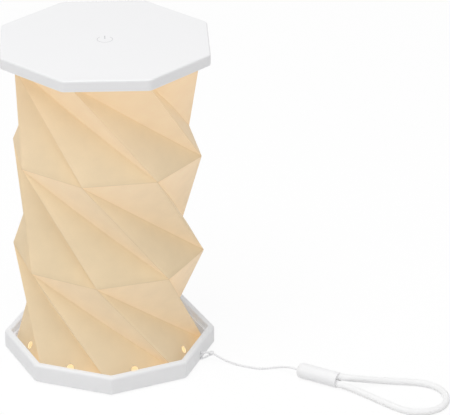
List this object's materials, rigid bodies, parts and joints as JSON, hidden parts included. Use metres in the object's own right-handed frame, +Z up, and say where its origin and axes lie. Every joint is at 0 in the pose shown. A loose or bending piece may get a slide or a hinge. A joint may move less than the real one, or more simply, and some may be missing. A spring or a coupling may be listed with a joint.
{
  "type": "folding table lamp",
  "caption": "Battery table lamp: an octagonal head on a creased, twisting translucent shade that folds flat into an octagonal tray, with a cord hand strap.",
  "frame": {"origin": "centre of the standing face, at the height of the feet's undersides", "axes": "+Z up along the lamp's axis, -Y towards the viewer of the picture, +X to the right; the charging socket faces +Y and the strap leaves towards +X"},
  "size_m": [0.2345, 0.1426, 0.1798],
  "materials": {
    "white_plastic": "satin moulded",
    "plate_plastic": "matte moulded",
    "diffuser_plastic": "frosted",
    "shade_sheet": "translucent creased sheet, lit from inside",
    "grey_rubber": "matte",
    "magnet_metal": "plated",
    "screw_steel": "plated",
    "socket_steel": "satin",
    "board_laminate": "solder mask",
    "chip_black": "matte",
    "led_package": "phosphor",
    "battery_foam": "foam",
    "battery_pouch": "foil",
    "wire_red": "insulated lead",
    "wire_black": "insulated lead",
    "copper_foil": "foil",
    "strap_string": "twisted string",
    "strap_sleeve": "soft satin",
    "strap_cord": "braided cord"
  },
  "bodies": {
    "base": {"base_tray": "white_plastic", "rubber_feet": "grey_rubber", "base_magnets": "magnet_metal", "lower_seat_plate": "plate_plastic", "lower_plate_screws": "screw_steel", "strap_hitch": "strap_string", "strap_string": "strap_string", "strap_sleeve": "strap_sleeve", "strap_loop": "strap_cord"},
    "shade": {"shade": "shade_sheet"},
    "head": {"head_cover": "white_plastic", "upper_seat_plate": "plate_plastic", "pod_housing": "plate_plastic", "spacer_ring": "plate_plastic", "pod_diffuser": "diffuser_plastic", "head_magnets": "magnet_metal", "upper_plate_screws": "screw_steel", "pod_screws": "screw_steel", "usb_socket": "socket_steel", "led_board": "board_laminate", "control_board": "board_laminate", "control_chips": "chip_black", "leds": "led_package", "battery_foam": "battery_foam", "battery_cell": "battery_pouch", "battery_leads": "wire_red", "led_leads": "wire_black", "touch_pad": "copper_foil"}
  },
  "joints": [
    {"name": "fold_drop", "type": "slide", "parent": "base", "child": "shade", "axis": [0, 0, 1], "range_m": [-0.1627, 0], "deforming": ["shade"]},
    {"name": "fold_twist", "type": "hinge", "parent": "shade", "child": "head", "pos_m": [0, 0, 0.17641], "axis": [0, 0, 1], "range_deg": [-112.5, 0]}
  ],
  "couplings": [
    {"joint": "fold_twist", "follows": "fold_drop", "rad_per_m": 12.068}
  ]
}
